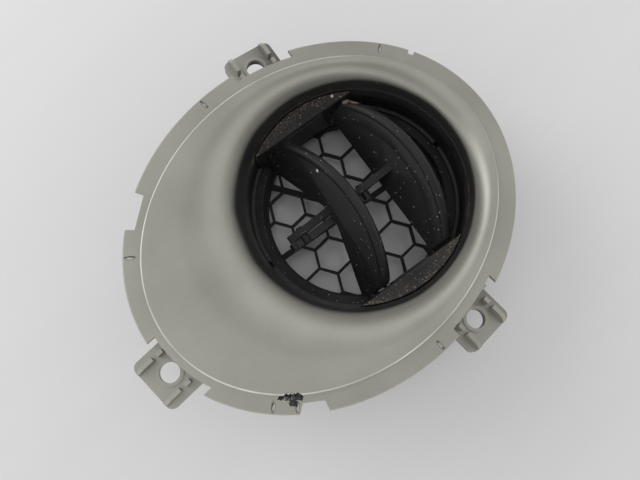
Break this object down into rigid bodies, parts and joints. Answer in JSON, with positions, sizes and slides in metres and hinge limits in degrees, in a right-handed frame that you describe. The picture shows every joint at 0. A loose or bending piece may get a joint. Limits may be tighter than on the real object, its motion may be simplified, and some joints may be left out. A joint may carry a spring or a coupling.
{
  "type": "round dashboard air vent",
  "caption": "Round swivelling air vent in an oval silver bezel, with curved tilting vanes joined by a link rod, a turning drum and a honeycomb grille behind.",
  "frame": {"origin": "on the barrel's axis, in the plane of the rear rim that the vent rests on", "axes": "+Z along the barrel's axis, out of the dashboard; +X to the narrow side of the oval bezel; +Y to the side of the top tab"},
  "size_m": [0.1291, 0.1146, 0.0507],
  "materials": {
    "silver_paint": "satin silver paint on plastic",
    "black_plastic": "matt black moulded plastic"
  },
  "bodies": {
    "housing": {"bezel": "silver_paint", "barrel_housing": "black_plastic", "rear_grille": "black_plastic"},
    "drum": {"drum": "black_plastic"},
    "right_vane": {"right_vane": "black_plastic"},
    "left_vane": {"left_vane": "black_plastic"},
    "link": {"link_rod": "black_plastic"}
  },
  "joints": [
    {"name": "drum_turn", "type": "hinge", "parent": "housing", "child": "drum", "pos_m": [0, 0, 0.0105], "axis": [0, 0, 1], "continuous": true},
    {"name": "right_vane_tilt", "type": "hinge", "parent": "drum", "child": "right_vane", "pos_m": [0.00963, -0.00118, 0.0191], "axis": [0.1219, 0.9925, 0], "range_deg": [-75, 3]},
    {"name": "left_vane_tilt", "type": "hinge", "parent": "drum", "child": "left_vane", "pos_m": [-0.014, 0.00172, 0.0191], "axis": [0.1219, 0.9925, 0], "range_deg": [-75, 3]},
    {"name": "link_swing", "type": "hinge", "parent": "right_vane", "child": "link", "pos_m": [0.00298, -0.00037, 0.022], "axis": [0.1219, 0.9925, 0], "range_deg": [-3, 75]}
  ],
  "couplings": [
    {"joint": "left_vane_tilt", "follows": "right_vane_tilt", "ratio": 1},
    {"joint": "link_swing", "follows": "right_vane_tilt", "ratio": -1}
  ]
}
